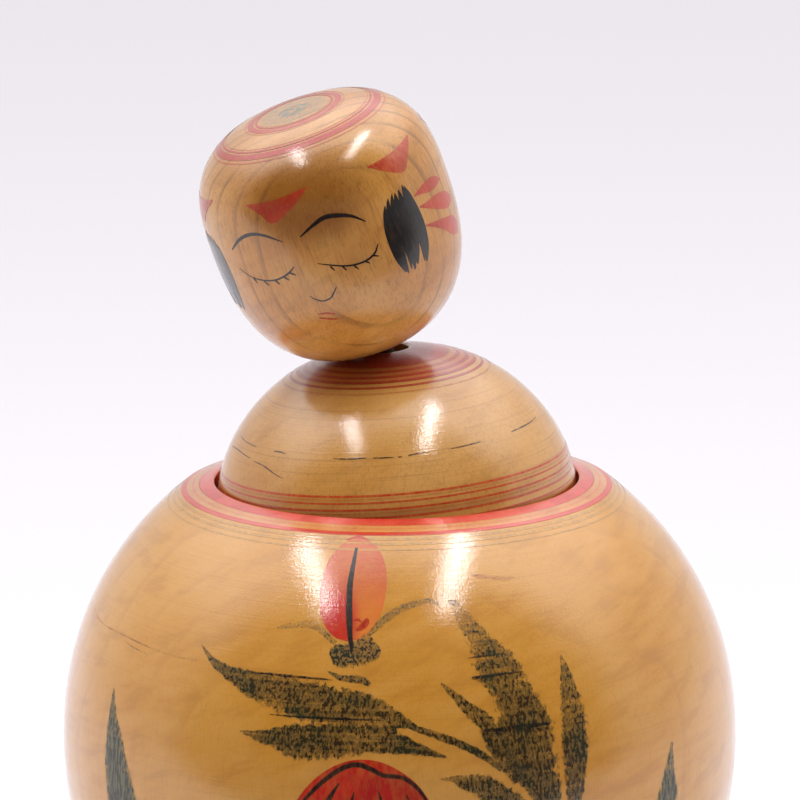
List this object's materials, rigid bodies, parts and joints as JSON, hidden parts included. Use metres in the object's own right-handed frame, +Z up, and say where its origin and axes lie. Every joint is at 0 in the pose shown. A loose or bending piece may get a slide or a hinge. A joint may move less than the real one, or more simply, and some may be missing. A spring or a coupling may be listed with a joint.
{
  "type": "kokeshi doll",
  "caption": "Lidded round wooden container doll: ball-shaped bowl, domed lift-off lid and a loosely pegged, leaning painted head.",
  "frame": {"origin": "centre of the flat foot", "axes": "+Z up the bowl's turning axis, -Y towards the viewer the doll faces, +X to the viewer's right"},
  "size_m": [0.13, 0.13, 0.1784],
  "materials": {
    "bowl": "waxed turned wood, glossy, painted with flowers",
    "lid": "waxed turned wood, glossy, with turned red rings",
    "neck_peg": "bare dark dowel",
    "stop_button": "bare dark turned button",
    "head": "waxed turned wood, glossy, painted face and hair"
  },
  "bodies": {
    "container": {"bowl": "bowl"},
    "lid": {"lid": "lid"},
    "neck": {"neck_peg": "neck_peg", "stop_button": "stop_button"},
    "head": {"head": "head"}
  },
  "joints": [
    {"name": "lid_lift", "type": "slide", "parent": "container", "child": "lid", "axis": [0, 0, 1], "range_m": [0, 0.06]},
    {"name": "neck_nod", "type": "hinge", "parent": "lid", "child": "neck", "pos_m": [-0.00162, 0, 0.12366], "axis": [-0.484, 0.8745, -0.0313], "range_deg": [0, 32.5]},
    {"name": "head_turn", "type": "hinge", "parent": "neck", "child": "head", "pos_m": [-0.00162, 0, 0.12366], "axis": [-0.3062, -0.1357, 0.9423], "continuous": true}
  ]
}
